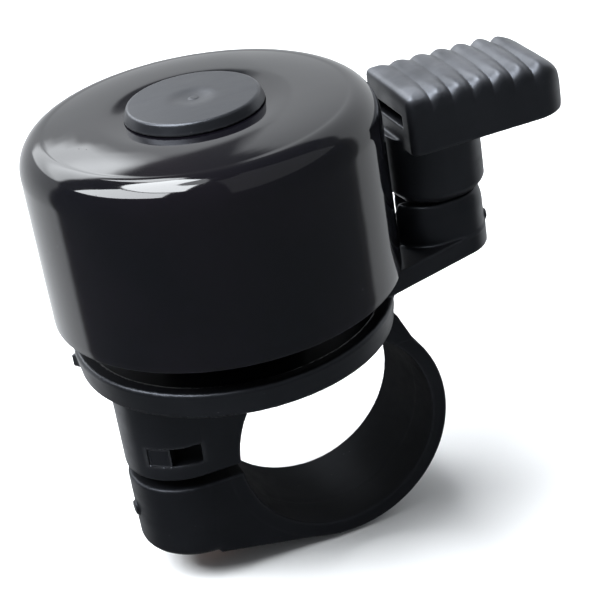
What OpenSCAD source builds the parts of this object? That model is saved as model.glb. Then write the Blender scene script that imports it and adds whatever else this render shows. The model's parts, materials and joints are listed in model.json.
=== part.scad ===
// Small handlebar bell: a pressed steel gong on a moulded base, rung by a thumb lever
// whose sprung arm flicks a striker inside the gong. A moulded strap, closed by one
// screw, holds it on the handlebar.
// Origin: centre of the handlebar bore. +Y runs along the handlebar, +X from the clamp
// screw towards the lever post, +Z up along the gong's axis. Millimetres.

/* [Clamp] */
// Diameter of the handlebar
bar_d = 22.2; // [22.0:0.1:22.4]
// Thickness of the strap
strap_t = 1.7; // [1.5:0.1:1.8]
// Width of the strap along the handlebar, and diameter of the screw bosses
strap_w = 13.2; // [12.8:0.2:13.6]
// Distance from the handlebar's axis to the clamp screw
clamp_screw_x = 15.2; // [15.0:0.1:15.6]
// Lowest face of the lower screw boss
boss_foot_z = -9.8; // [-10.2:0.1:-9.4]
// Top of the lower screw boss
boss_gap_z = -0.9; // [-1.1:0.1:-0.8]
// Gap between the two screw bosses with the strap closed
boss_gap = 1.1; // [0.9:0.1:1.2]

/* [Base] */
// Underside of the base
base_z = 11.6; // [11.5:0.1:11.8]
// Height of the base from its underside to its rim
base_h = 3.0; // [2.9:0.1:3.1]
// Diameter of the base at its underside
base_d = 33.5; // [33:0.1:33.8]
// How much wider the rim is than the underside
rim_flare = 0.6; // [0.2:0.1:0.8]

/* [Gong] */
// Distance from the handlebar's axis to the gong's axis, towards the clamp screw
gong_offset = 7.3; // [7.2:0.1:7.4]
// Outer diameter of the gong
gong_d = 36.7; // [36.5:0.1:36.9]
// Thickness of the gong's sheet
gong_t = 0.9; // [0.8:0.1:1.0]
// Height of the gong's lip
lip_z = 17.8; // [17.7:0.1:18]
// Height of the gong's shoulder
shoulder_z = 37.45; // [37.3:0.05:37.6]
// Rise of the gong's crown above its shoulder
crown_h = 0.4; // [0.2:0.1:0.5]
// Diameter of the cap
cap_d = 14.3; // [14:0.1:14.5]
// Top of the cap
cap_top_z = 38.85; // [38.8:0.05:39]

/* [Lever] */
// Distance from the handlebar's axis to the lever's pivot
pivot_x = 17.9; // [17.8:0.05:18]
// Joint between the fixed post and the lever's hub
hub_z = 21.2; // [21.1:0.1:21.3]
// Diameter of the lever's hub
hub_d = 9.6; // [9.2:0.1:9.8]
// Underside of the thumb pad
pad_z = 27.8; // [27.7:0.1:28]
// Height of the thumb pad at its inner end
pad_h = 7; // [6.8:0.1:7.1]
// Length of the thumb pad
pad_l = 18.5; // [18.2:0.1:18.7]
// Width of the thumb pad
pad_w = 11.3; // [11:0.1:11.4]
// Number of grip ridges across the thumb pad
ridge_count = 7; // [5:1:7]
// Distance between grip ridges
ridge_pitch = 2.35; // [2.3:0.05:2.35]

/* [Striker] */
// Direction of the striker arm at rest, from +X
arm_angle = 150; // [150:0.5:151]
// Distance from the pivot to the striker's centre
striker_l = 17.5; // [17.3:0.1:17.6]
// Diameter of the striker
striker_d = 4.6; // [4.4:0.1:4.8]
// Height of the striker's centre
striker_z = 22; // [21.5:0.1:23]

/* [Hidden] */

$fn = 48;
round_fn = 96;          // large turned surfaces
soft_fn = 32;           // arcs inside outlines
running = 0.05;         // radial clearance of a turning fit
near = 0.02;            // gap between pieces that rest on each other sideways
big = 100;              // longer than the whole bell

bar_r = bar_d / 2;
strap_r = bar_r + strap_t;
boss_r = strap_w / 2;
boss_x = -clamp_screw_x;
upper_boss_z = boss_gap_z + boss_gap;

gong_x = -gong_offset;
gong_r = gong_d / 2;
base_r = base_d / 2;
rim_r = base_r + rim_flare / 2;
rim_z = base_z + base_h;
floor_z = base_z + 1.6;
rim_t = 1.7;

// Strap hinge: a bead along the strap's root that snaps into the base
split_x = 5.0;          // where the saddle ends and the strap begins
bead_r = 1.1;
bead_x = 6.2;
bead_z = base_z + 1.3;
bead_w = strap_w - 2.2;
neck_w = 1.3;

// Clamp screw, M3, and its square nut
screw_r = 1.45;
screw_hole_r = 1.65;
screw_pitch = 0.5;
screw_l = 15.4;
screw_head = [3, 2];    // radius and height of the head
screw_washer_r = 3.5;
head_hole_r = 4.1;      // recess for the head in the lower boss
washer_t = 0.5;         // thickness of every washer
strap_swing = 1.3;      // how far the lower boss moves sideways as the screw backs out
nut_af = 5.5;
nut_h = 1.8;
nut_z = 2.05;
nut_slot_angle = 245;   // direction that the nut is pushed in from
nut_play = 0.1;

// Gong fixing stack, from the post upwards
well_r = 5.6;
well_z = 34.6;          // floor of the gong's centre well
seat_t = 0.8;
post_r = 4.2;
post_z = well_z - gong_t - seat_t;
gong_hole_r = 2.7;
isolator_t = 0.5;
isolator_r = 4.8;
gong_washer_r = 4.5;
gong_screw_r = 1.45;
gong_screw_l = 11;
gong_screw_pitch = 0.9;
gong_head = [2.9, 1.7];

// Lever post
lug_z = rim_z - 0.3;
lug_top_z = rim_z + 2;
lug_r = 4.35;
lug_taper = 17;         // how much each side of the lug converges, degrees
lug_root_x = 6;
pocket_z = rim_z + 0.7; // floor of the pocket for the arm's hub
chamber_r = 3.1;
shaft_r = 1.9;
journal_r = 1.5;
journal_z = pocket_z + 0.1;
arm_hub_z = pocket_z + 0.2;
arm_hub_h = 2.4;
arm_hub_r = 2.9;
neck_r = 3.95;          // where the hub meets the post
collar_z = hub_z - 1.1;
flat_depth = 0.5;       // depth of the flat that keys the arm to the shaft
journal_l = 5;
lever_screw_r = 0.8;
lever_screw_l = 4.8;
lever_head = [1.9, 0.8];
lever_washer_r = 3.2;
lever_washer_z = lug_z - 0.6;

// Striker arm
arm_z = pocket_z + 0.8;
arm_h = 1.2;
arm_w = 2.0;
arm_l = 10.5;
leaf_t = 0.3;
leaf_start = 6.2;
leaf_rivets = [7.3, 9.5];
arm_rivet_r = 0.45;
arm_rivet_head = [0.65, 0.35];
striker_reach = 3.7;    // thickness of the striker from the leaf towards the gong
striker_round = 0.8;
striker_rivet_r = 0.8;
striker_rivet_head = [1.3, 0.6];
lever_travel = 28;      // how far the thumb turns the lever, degrees
window_half = arm_w / 2 + 0.06;
window_wide_l = 6;      // where the arm's opening widens, from the pivot
housing_l = 1.9;        // how far the post is drawn out towards the gong
hub_l = 0.8;            // and the lever's hub above it

// Points of an arc in a plane, from angle a to angle b
function arc(x, y, rx, ry, a, b, steps = soft_fn / 4) =
    [for (i = [0:steps]) let (t = a + (b - a) * i / steps) [x + rx * cos(t), y + ry * sin(t)]];

// Outline of a pan head above y = 0, with its edge rounded
function pan(r, h) = concat([[0, 0], [r, 0]], arc(0.62 * r, 0.25 * h, 0.38 * r, 0.75 * h, 0, 90), [[0, h]]);

module at_gong(z = 0) translate([gong_x, 0, z]) children();
module at_clamp(z = 0) translate([boss_x, 0, z]) children();
module at_pivot(z = 0) translate([pivot_x, 0, z]) children();

// Places its children along the arm: x along it, y towards the gong's wall, z up
module along_arm() translate([pivot_x, 0, 0]) rotate([0, 0, arm_angle]) mirror([0, 1, 0]) children();

// Turns an outline round the pivot and draws the solid out by l towards the gong
module drawn_out(l) at_pivot() {
    for (x = [0, -l]) translate([x, 0, 0]) rotate_extrude($fn = round_fn) children();
    for (m = [0, 1]) mirror([0, m, 0]) rotate([90, 0, -90]) linear_extrude(l) children();
}

// A cylinder along Y, centred on the XZ plane
module y_cylinder(x, z, r, w) translate([x, w / 2, z]) rotate([90, 0, 0])
    cylinder(r = r, h = w, $fn = round_fn);

// An outline in X and Z, drawn out along Y
module y_extrude(points, w) translate([0, w / 2, 0]) rotate([90, 0, 0]) linear_extrude(w) polygon(points);

// Threaded shank from z = 0 up: ridges whose crests are at r
module thread(r, l, pitch) {
    root = r - 0.5 * pitch;
    turns = floor(l / pitch);
    rotate_extrude($fn = soft_fn) polygon(concat([[0, 0]],
        [for (i = [0:turns - 1]) each [[root, i * pitch], [r, (i + 0.5) * pitch]]],
        [[root, turns * pitch], [root, l], [0, l]]));
}

// Cross recess cut into a head whose top is at z = 0
module cross_recess(r, depth) for (a = [0, 90])
    rotate([0, 0, a]) translate([-r, -0.16 * r, -depth]) cube([2 * r, 0.32 * r, 2 * depth]);

// ---------------------------------------------------------------- base

module tray() at_gong() rotate_extrude($fn = round_fn) polygon(concat(
    [[0, base_z], [base_r - 0.2, base_z], [base_r, base_z + 0.2]],
    arc(rim_r - 0.5, rim_z - 0.5, 0.5, 0.5, 0, 90),
    [[rim_r - rim_t + 0.2, rim_z], [rim_r - rim_t, rim_z - 0.2], [rim_r - rim_t, floor_z], [0, floor_z]]));

module centre_post() at_gong() {
    translate([0, 0, base_z]) cylinder(r = post_r, h = post_z - base_z);
    translate([0, 0, floor_z]) cylinder(r = post_r + 1.2, h = 2);
    for (a = [0:60:300]) rotate([0, 0, a])
        translate([0, -0.6, floor_z]) cube([post_r + 4.5, 1.2, 1.4]);
}

// The saddle over the handlebar and the upper screw boss, before the bore is cut
module saddle() {
    at_clamp(upper_boss_z) cylinder(r = boss_r, h = base_z - upper_boss_z + 0.5, $fn = round_fn);
    translate([boss_x, -boss_r, upper_boss_z])
        cube([split_x - boss_x, strap_w, base_z - upper_boss_z + 0.5]);
}

// The block that holds the strap's bead
module bead_block() translate([bead_x - 1.8, -boss_r + 0.3, base_z])
    cube([3.6, strap_w - 0.6, rim_z - 0.2 - base_z]);

module bead_socket() {
    y_cylinder(bead_x, bead_z, bead_r + running, bead_w + 0.3);
    translate([bead_x - neck_w / 2 - 0.1, -bead_w / 2 - 0.15, base_z - 1])
        cube([neck_w + 0.35, bead_w + 0.3, bead_z - base_z + 1]);
}

// Outline of the lug in plan, from the tray to the lever post
function lug_plan(end_x = pivot_x + lug_r * sin(lug_taper), end_y = lug_r * cos(lug_taper)) =
    let (root_y = end_y + (end_x - lug_root_x) * tan(lug_taper))
    [[lug_root_x, -root_y], [end_x, -end_y], [end_x, end_y], [lug_root_x, root_y]];

// The lug that carries the lever post, and the filling under it inside the tray
module lug() {
    translate([0, 0, lug_z]) linear_extrude(lug_top_z - lug_z) polygon(lug_plan());
    at_pivot() rotate_extrude() polygon([[0, lug_z], [lug_r - 0.3, lug_z], [lug_r, lug_z + 0.3],
        [lug_r, lug_top_z], [0, lug_top_z]]);
    intersection() {
        translate([0, 0, floor_z - 0.2]) linear_extrude(lug_z - floor_z + 0.4) polygon(lug_plan());
        at_gong() cylinder(r = rim_r - 0.3, h = big, $fn = round_fn);
    }
}

// The fixed part of the post: a tube drawn out a little towards the gong, so that it also
// houses the root of the arm, with a rounded shoulder all round
module post_housing() {
    tube_top_z = hub_z - 2;
    foot_z = lug_top_z - 0.1;
    drawn_out(housing_l) polygon(concat([[0, foot_z], [lug_r, foot_z], [lug_r - 0.1, foot_z + 0.7]],
        arc(3.6, tube_top_z, 0.65, 1.9, 0, 90), [[0, hub_z - 0.1]]));
}

// Plan of the arm with room round it: tight in the tube, wider where the rivets are
module arm_room() {
    translate([0, -window_half]) square([window_wide_l + 0.1, 2 * window_half]);
    translate([window_wide_l, -1.8]) square([8, 3.6]);
}

// Opening that the arm swings in, from the pocket into the gong, open at the top so that
// the arm can be fitted. Its first edge is the lever's stop.
module arm_window() at_pivot(pocket_z) rotate([0, 0, arm_angle]) linear_extrude(hub_z) {
    swing = lever_travel + 1;
    reach = window_wide_l + 8;
    for (a = [0, swing]) rotate([0, 0, a]) arm_room();
    polygon([[0, 0], for (i = [0:4]) let (a = swing * i / 4) [reach * cos(a), reach * sin(a)]]);
}

// Small marks that moulding leaves: gate nibs and a flash tab
module mould_marks() {
    at_pivot(lug_top_z + 0.5) rotate([0, 90, -17]) cylinder(r = 0.55, h = lug_r + 0.2, $fn = 24);
    at_gong(base_z) rotate([0, 0, 166]) linear_extrude(1.4)
        polygon([[base_r - 1, -0.9], [base_r + 0.8, 0], [base_r - 1, 0.9]]);
}

module base_plate() color("dimgray") difference() {
    union() {
        tray();
        centre_post();
        saddle();
        bead_block();
        lug();
        post_housing();
        mould_marks();
    }
    y_cylinder(0, 0, bar_r, big);
    bead_socket();
    arm_window();
    at_pivot(pocket_z) cylinder(r = chamber_r, h = big);
    at_pivot(0) cylinder(r = journal_r + running, h = big);
    at_gong(post_z - gong_screw_l + isolator_t)
        cylinder(r = gong_screw_r + running, h = big, $fn = soft_fn);
    at_clamp(upper_boss_z - 1) cylinder(r = screw_hole_r, h = 8);
    at_clamp(nut_z) rotate([0, 0, nut_slot_angle])
        translate([-nut_af / 2 - nut_play, -nut_af / 2 - nut_play, 0])
            cube([big, nut_af + 2 * nut_play, nut_h + 0.3]);
}

// ---------------------------------------------------------------- gong

shoulder_a = 2.95;      // shoulder rounding, measured inwards
shoulder_b = 3.35;      // and downwards
crest_r = 10;           // where the crown is highest
dip_r = cap_d / 2 + 0.1;

// Height of the gong's top at radius r
function crown(r) = shoulder_z + crown_h
    * (1 - pow((r - crest_r) / (r > crest_r ? gong_r - shoulder_a - crest_r : 1.25 * (crest_r - dip_r)), 2));

module gong_dome() color("black") at_gong() rotate_extrude($fn = round_fn) polygon(concat(
    // outer face, from the lip to the well
    [[gong_r - 0.3, lip_z], [gong_r, lip_z + 0.3]],
    arc(gong_r - shoulder_a, shoulder_z - shoulder_b, shoulder_a, shoulder_b, 0, 90),
    [for (i = [1:8]) let (r = gong_r - shoulder_a + (dip_r - gong_r + shoulder_a) * i / 8) [r, crown(r)]],
    arc(well_r + 0.7, crown(dip_r) - 0.7, 0.7, 0.7, 90, 180, 4),
    [[well_r, well_z], [gong_hole_r, well_z]],
    // inner face, back to the lip
    [[gong_hole_r, well_z - gong_t], [well_r + gong_t - 0.4, well_z - gong_t],
     [well_r + gong_t, well_z - gong_t + 0.4], [well_r + gong_t, shoulder_z - gong_t - 0.6],
     [well_r + gong_t + 0.6, shoulder_z - gong_t]],
    [[crest_r, shoulder_z + crown_h - gong_t]],
    arc(gong_r - shoulder_a, shoulder_z - shoulder_b, shoulder_a - gong_t, shoulder_b - gong_t, 90, 0),
    [[gong_r - gong_t, lip_z + 0.1], [gong_r - gong_t + 0.1, lip_z]]));

// Soft seat under the gong, with a spigot that centres it
module gong_seat() color("saddlebrown") at_gong() difference() {
    union() {
        translate([0, 0, post_z]) cylinder(r = post_r + 0.4, h = seat_t);
        translate([0, 0, post_z]) cylinder(r = gong_hole_r - near, h = seat_t + gong_t - 0.1);
    }
    cylinder(r = gong_screw_r + 0.15, h = big);
}

module gong_isolator() color("sienna") at_gong(well_z) difference() {
    cylinder(r = isolator_r, h = isolator_t);
    translate([0, 0, -1]) cylinder(r = gong_screw_r + 0.15, h = 5);
}

module gong_washer() color("silver") at_gong(well_z + isolator_t) difference() {
    cylinder(r = gong_washer_r, h = washer_t);
    translate([0, 0, -1]) cylinder(r = gong_screw_r + 0.1, h = 5);
}

module gong_screw() color("gainsboro") at_gong(well_z + isolator_t + washer_t) difference() {
    union() {
        rotate_extrude() polygon(pan(gong_head[0], gong_head[1]));
        mirror([0, 0, 1]) thread(gong_screw_r, gong_screw_l, gong_screw_pitch);
    }
    translate([0, 0, gong_head[1]]) cross_recess(1.7, 1.1);
}

// Snap-in cap: a disc with a skirt split into fingers
module gong_cap() color("dimgray") at_gong() difference() {
    bevel = 0.15;
    draft = 0.5;            // how much the side leans in
    foot_z = crown(dip_r) + near;
    skirt_r = well_r - 0.1;
    skirt_t = 0.8;
    skirt_z = well_z + 1.2;
    slit_w = 1;
    rotate_extrude($fn = round_fn) polygon([[0, foot_z], [0, cap_top_z],
        [cap_d / 2 - draft - bevel, cap_top_z], [cap_d / 2 - draft, cap_top_z - bevel],
        [cap_d / 2, foot_z + 0.2],
        [cap_d / 2 - 0.1, foot_z], [skirt_r, foot_z], [skirt_r, skirt_z + 0.4],
        [skirt_r - 0.3, skirt_z], [skirt_r - skirt_t, skirt_z], [skirt_r - skirt_t, foot_z]]);
    for (a = [0:60:300]) rotate([0, 0, a + 30])
        translate([3, -slit_w / 2, well_z]) cube([3, slit_w, foot_z - well_z - 0.2]);
}

// ---------------------------------------------------------------- lever

pad_x = pivot_x - 4.8;                      // inner end of the pad
pad_top = pad_z + pad_h;
pad_drop = 1.0;                             // fall of the pad's top towards its tip
ridge_h = 0.5;                              // height of the grip ridges
ridge_r = (pow(ridge_pitch / 2, 2) + pow(ridge_h, 2)) / (2 * ridge_h);
ridge_x = pad_x + 1.5;

// Height of the pad's ridge crests at x
function pad_crest(x) = pad_top - pad_drop * pow((x - pad_x) / pad_l, 2);

// Side outline of the pad, without the ridges
function pad_side() = concat(
    [[pad_x, pad_z + 0.3], [pad_x + 0.3, pad_z], [pad_x + pad_l - 1.4, pad_z]],
    arc(pad_x + pad_l - 1.4, pad_z + 1.4, 1.4, 1.4, -80, 0, 4),
    arc(pad_x + pad_l - 2.8, pad_crest(pad_x + pad_l) - ridge_h - 2.8, 2.8, 2.8, 0, 90),
    arc(pad_x + 0.8, pad_top - ridge_h - 0.8, 0.8, 0.8, 90, 180, 4));

// Plan outline of the pad: r0 rounds its inner corners, r1 those of the tip
function pad_plan(r0 = 1.2, r1 = 4.2) = let (h = pad_w / 2, x1 = pad_x + pad_l)
    concat(arc(pad_x + r0, h - r0, r0, r0, 180, 90, 4), arc(x1 - r1, h - r1, r1, r1, 90, 0),
        arc(x1 - r1, r1 - h, r1, r1, 0, -90), arc(pad_x + r0, r0 - h, r0, r0, 270, 180, 4));

module pad() difference() {
    intersection() {
        union() {
            y_extrude(pad_side(), pad_w);
            for (i = [0:ridge_count - 1]) let (x = ridge_x + i * ridge_pitch)
                y_cylinder(x, pad_crest(x) - ridge_r, ridge_r, pad_w);
        }
        translate([0, 0, pad_z]) linear_extrude(big) polygon(pad_plan());
    }
    wall = 1.7;
    end_slot = [1.9, 6.4, 1.3];
    core = [5.6, pad_w - 2 * wall, 2.8];
    // slot in the end that faces the gong
    translate([pad_x - 1, -3.4, pad_z + 2.7]) cube(end_slot + [1, 0, 0]);
    // moulding core under the far end
    translate([pivot_x + hub_d / 2 + 1, -core[1] / 2, pad_z - 1]) cube(core + [0, 0, 1]);
}

module thumb_lever() color("dimgray") difference() {
    union() {
        pad();
        drawn_out(hub_l) polygon([[0, hub_z + 0.05], [neck_r, hub_z + 0.05],
            [hub_d / 2 - 0.1, hub_z + 1.15], [hub_d / 2, hub_z + 1.5],
            [hub_d / 2, pad_z + 0.5], [0, pad_z + 0.5]]);
        at_pivot(collar_z) cylinder(r = chamber_r - running, h = hub_z + 0.5 - collar_z);
        at_pivot(journal_z) cylinder(r = shaft_r, h = hub_z - journal_z);
        at_pivot(lug_z - 0.1) cylinder(r = journal_r, h = journal_l);
    }
    at_pivot(lug_z - 1) cylinder(r = lever_screw_r + running, h = 6.5, $fn = 24);
    // flat for the arm
    at_pivot(journal_z - 0.05) rotate([0, 0, arm_angle])
        translate([shaft_r - flat_depth, -shaft_r, 0])
            cube([2, 2 * shaft_r, arm_hub_z + arm_hub_h - journal_z + 0.1]);
}

module lever_washer() color("silver") at_pivot(lever_washer_z) difference() {
    cylinder(r = lever_washer_r, h = washer_t);
    translate([0, 0, -1]) cylinder(r = 0.95, h = 3, $fn = 24);
}

module lever_screw() color("gainsboro") at_pivot(lever_washer_z) difference() {
    union() {
        mirror([0, 0, 1]) rotate_extrude() polygon(pan(lever_head[0], lever_head[1]));
        thread(lever_screw_r, lever_screw_l, 0.4);
    }
    translate([0, 0, -lever_head[1]]) cross_recess(1.1, 0.5);
}

// Torsion spring round the shaft: one leg bears on the post, the other on the arm
spring_wire = 0.4;
spring_r = 2.5;
spring_turns = 3.25;
spring_z = arm_hub_z + arm_hub_h + spring_wire / 2 + 0.05;
spring_sides = 8;
spring_step = 12;

function spring_path() = concat(
    [[spring_r, -1.6, spring_z]],
    [for (a = [0:spring_step:360 * spring_turns])
        [spring_r * cos(a), spring_r * sin(a), spring_z + a / 360 * (spring_wire + 0.05)]]);

// Ring of points round each point of a path that stays nearly level
function ring(p, d) = let (s = [d[1], -d[0], 0] / norm([d[0], d[1]]))
    [for (i = [0:spring_sides - 1]) let (t = 360 * i / spring_sides)
        p + spring_wire / 2 * (cos(t) * s + sin(t) * [0, 0, 1])];

module sweep(path) {
    n = len(path);
    k = spring_sides;
    rings = [for (i = [0:n - 1]) each
        ring(path[i], path[min(i + 1, n - 1)] - path[max(i - 1, 0)])];
    polyhedron(rings, concat(
        [[for (j = [0:k - 1]) j]],
        [for (i = [0:n - 2]) for (j = [0:k - 1])
            [i * k + j, (i + 1) * k + j, (i + 1) * k + (j + 1) % k, i * k + (j + 1) % k]],
        [[for (j = [k - 1:-1:0]) (n - 1) * k + j]]), convexity = 10);
}

module lever_spring() color("lightsteelblue") at_pivot() rotate([0, 0, 30]) sweep(spring_path());

// ---------------------------------------------------------------- striker

module striker_arm() color("slategray") difference() {
    union() {
        at_pivot(arm_hub_z) cylinder(r = arm_hub_r, h = arm_hub_h);
        along_arm() translate([1, -arm_w / 2, arm_z]) cube([arm_l - 1, arm_w, arm_h]);
    }
    difference() {
        at_pivot(0) cylinder(r = shaft_r + near, h = big);
        at_pivot(0) rotate([0, 0, arm_angle])
            translate([shaft_r - flat_depth + near, -big / 2, 0]) cube([big, big, big]);
    }
    for (l = leaf_rivets) along_arm() arm_pin(l, arm_rivet_r + near);
}

// A pin across the arm at distance l from the pivot
module arm_pin(l, r) translate([l, big / 2, arm_z + arm_h / 2]) rotate([90, 0, 0])
    cylinder(r = r, h = big, $fn = 24);

module arm_rivets() color("silver") along_arm() for (l = leaf_rivets) {
    head_r = arm_rivet_head[0];
    head_h = arm_rivet_head[1];
    translate([l, arm_w / 2 + head_h, arm_z + arm_h / 2]) rotate([90, 0, 0])
        cylinder(r = arm_rivet_r, h = arm_w + leaf_t + 2 * head_h, $fn = 24);
    for (y = [arm_w / 2 + near, -arm_w / 2 - leaf_t - head_h - near])
        translate([l, y + head_h, arm_z + arm_h / 2]) rotate([90, 0, 0])
            cylinder(r = head_r, h = head_h, $fn = 24);
}

// Spring steel leaf: flat along the arm, then up inside the gong to the striker
module striker_leaf() color("lightsteelblue") along_arm() difference() {
    top_z = striker_z + 1.6;
    tip_l = striker_l + 1.7;
    translate([0, -arm_w / 2 - near, 0]) rotate([90, 0, 0]) linear_extrude(leaf_t - near) polygon([
        [leaf_start, arm_z], [arm_l + 1.6, arm_z], [tip_l, striker_z - 1.6], [tip_l, top_z],
        [striker_l - 1.7, top_z], [striker_l - 2.2, striker_z - 1], [arm_l + 0.8, arm_z + arm_h],
        [leaf_start, arm_z + arm_h]]);
    for (l = leaf_rivets) arm_pin(l, arm_rivet_r + near);
    translate([striker_l, big / 2, striker_z]) rotate([90, 0, 0])
        cylinder(r = striker_rivet_r + near, h = big, $fn = 24);
}

// Striker slug: a short turned weight with a rounded face towards the gong
module striker_head() color("darkgray") along_arm() translate([striker_l, -arm_w / 2 + 0.02, striker_z])
    rotate([-90, 0, 0]) difference() {
        rotate_extrude() polygon(concat([[0, 0], [striker_d / 2 - 0.2, 0], [striker_d / 2, 0.2]],
            arc(striker_d / 2 - striker_round, striker_reach - striker_round,
                striker_round, striker_round, 0, 90),
            [[0, striker_reach]]));
        translate([0, 0, -1]) cylinder(r = striker_rivet_r + near, h = 3, $fn = 24);
    }

module striker_rivet() color("silver") along_arm()
    translate([striker_l, -arm_w / 2 - leaf_t - 0.02, striker_z]) rotate([-90, 0, 0]) {
        cylinder(r = striker_rivet_r, h = 2, $fn = 24);
        mirror([0, 0, 1]) rotate_extrude($fn = 24)
            polygon(pan(striker_rivet_head[0], striker_rivet_head[1]));
    }

// ---------------------------------------------------------------- clamp

// Band round the handlebar, running straight into the lower boss
module band() {
    y_cylinder(0, 0, strap_r, strap_w);
    foot = -strap_r * [sin(7), cos(7)];
    y_extrude([[0, 0], [boss_x, 0], [boss_x, boss_foot_z], foot], strap_w);
    at_clamp() rotate_extrude($fn = round_fn) polygon(concat(
        [[0, boss_foot_z], [boss_r - 1.2, boss_foot_z]],
        arc(boss_r - 1.2, boss_foot_z + 1.2, 1.2, 1.2, -90, 0),
        arc(boss_r - 0.4, boss_gap_z - 0.4, 0.4, 0.4, 0, 90, 3),
        [[0, boss_gap_z]]));
    y_extrude([[split_x, 8], [split_x, base_z], [8.5, base_z], [10, 8]], strap_w);
}

module clamp_strap() color("dimgray") difference() {
    root_top = base_z - 0.2;
    union() {
        difference() {
            union() {
                band();
                at_clamp(-5) rotate([0, -90, 0]) cylinder(r = 0.8, h = boss_r + 0.3, $fn = 24);
            }
            translate([split_x + 0.2 - big, -big / 2, boss_gap_z]) cube([big, big, big]);
            translate([-big / 2, -big / 2, root_top]) cube(big);
        }
        y_cylinder(bead_x, bead_z, bead_r, bead_w);
        translate([bead_x - neck_w / 2, -bead_w / 2, root_top - 0.6])
            cube([neck_w, bead_w, bead_z - root_top + 0.6]);
    }
    y_cylinder(0, 0, bar_r, big);
    // slotted screw hole, so that the boss can swing clear as the screw backs out
    for (x = [-strap_swing, 0]) at_clamp(-big / 2) translate([x, 0, 0]) cylinder(r = screw_hole_r, h = big);
    at_clamp(-big / 2) translate([-strap_swing, -screw_hole_r, 0]) cube([strap_swing, 2 * screw_hole_r, big]);
    at_clamp(boss_foot_z - 5) cylinder(r = head_hole_r, h = 5);
}

module clamp_nut() color("goldenrod") at_clamp(nut_z) rotate([0, 0, nut_slot_angle]) difference() {
    intersection() {
        translate([-nut_af / 2, -nut_af / 2, 0]) cube([nut_af, nut_af, nut_h]);
        rotate_extrude() polygon([[0, 0], [nut_af / 2 + 1, 0], [nut_af / 2 + 1, nut_h - 0.5],
            [nut_af / 2 + 0.2, nut_h], [0, nut_h]]);
    }
    translate([0, 0, -1]) cylinder(r = screw_r + running, h = nut_h + 2);
}

module clamp_washer() color("peru") at_clamp(boss_foot_z - washer_t) difference() {
    cylinder(r = screw_washer_r, h = washer_t);
    translate([0, 0, -1]) cylinder(r = screw_r + 0.1, h = 3);
}

module clamp_screw() color("peru") at_clamp(boss_foot_z - washer_t) difference() {
    union() {
        mirror([0, 0, 1]) rotate_extrude() polygon(pan(screw_head[0], screw_head[1]));
        thread(screw_r, screw_l, screw_pitch);
    }
    translate([0, 0, -screw_head[1]]) cross_recess(1.7, 1.2);
}

base_plate();
gong_dome();
gong_seat();
gong_isolator();
gong_washer();
gong_screw();
gong_cap();
thumb_lever();
lever_washer();
lever_screw();
lever_spring();
striker_arm();
arm_rivets();
striker_leaf();
striker_head();
striker_rivet();
clamp_strap();
clamp_nut();
clamp_washer();
clamp_screw();
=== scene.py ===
"""Looks of a small handlebar bell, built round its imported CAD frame.

Moulded and stamped pieces are distance fields skinned with a mesh, so that every edge
and inside corner gets the soft radius of the real piece. Turned pieces are lathed
outlines. Lengths inside the shape functions are millimetres; meshes are in metres.
"""

import json
from math import cos, exp, pi, radians, sin, sqrt, tan

import bpy
import numpy as np
from numpy import clip, hypot, maximum, minimum
from mathutils import Matrix, Vector

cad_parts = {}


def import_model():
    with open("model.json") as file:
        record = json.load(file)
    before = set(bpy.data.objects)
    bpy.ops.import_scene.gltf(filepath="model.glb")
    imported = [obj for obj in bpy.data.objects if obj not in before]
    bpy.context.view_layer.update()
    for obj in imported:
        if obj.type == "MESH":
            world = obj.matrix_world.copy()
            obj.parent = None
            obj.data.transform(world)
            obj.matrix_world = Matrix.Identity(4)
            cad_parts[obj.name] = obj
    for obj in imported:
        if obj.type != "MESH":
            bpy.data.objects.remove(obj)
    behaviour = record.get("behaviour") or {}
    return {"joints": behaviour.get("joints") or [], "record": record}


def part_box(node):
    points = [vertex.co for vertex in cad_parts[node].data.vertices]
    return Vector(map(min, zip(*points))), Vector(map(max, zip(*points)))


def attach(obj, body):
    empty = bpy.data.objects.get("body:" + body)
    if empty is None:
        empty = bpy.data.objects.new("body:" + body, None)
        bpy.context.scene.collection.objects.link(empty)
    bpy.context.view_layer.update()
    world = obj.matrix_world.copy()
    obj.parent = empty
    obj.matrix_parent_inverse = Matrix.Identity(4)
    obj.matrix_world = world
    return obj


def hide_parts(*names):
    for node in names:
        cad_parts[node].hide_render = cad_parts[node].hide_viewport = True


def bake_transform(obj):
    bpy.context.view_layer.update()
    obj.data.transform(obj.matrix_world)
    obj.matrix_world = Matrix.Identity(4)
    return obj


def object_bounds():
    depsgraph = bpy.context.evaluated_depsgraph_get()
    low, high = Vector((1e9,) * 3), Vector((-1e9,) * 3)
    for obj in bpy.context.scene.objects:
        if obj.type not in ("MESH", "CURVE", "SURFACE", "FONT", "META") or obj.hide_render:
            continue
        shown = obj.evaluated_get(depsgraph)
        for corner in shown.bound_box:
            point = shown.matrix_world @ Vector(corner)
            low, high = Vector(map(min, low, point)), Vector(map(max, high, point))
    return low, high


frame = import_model()
cad_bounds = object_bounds()

MM = 0.001
COARSE = 1.0
SMOOTH_ANGLE = radians(35)

# ---- sizes ----


def box_mm(node):
    """Lowest and highest corner of a CAD node, in millimetres."""
    lo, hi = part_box(node)
    return np.array(lo) / MM, np.array(hi) / MM


def joint_mm(name):
    """Place of a joint's axis, in millimetres."""
    joint = next(j for j in frame["joints"] if j["name"] == name)
    return np.array(joint["pos_m"]) / MM


GONG_LO, GONG_HI = box_mm("gong_dome")
CAP_LO, CAP_HI = box_mm("gong_cap")
LEVER_LO, LEVER_HI = box_mm("thumb_lever")
STRAP_LO, STRAP_HI = box_mm("clamp_strap")
BASE_LO, BASE_HI = box_mm("base_plate")
NUT_LO, NUT_HI = box_mm("clamp_nut")
SEAT_LO, SEAT_HI = box_mm("gong_seat")

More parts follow.
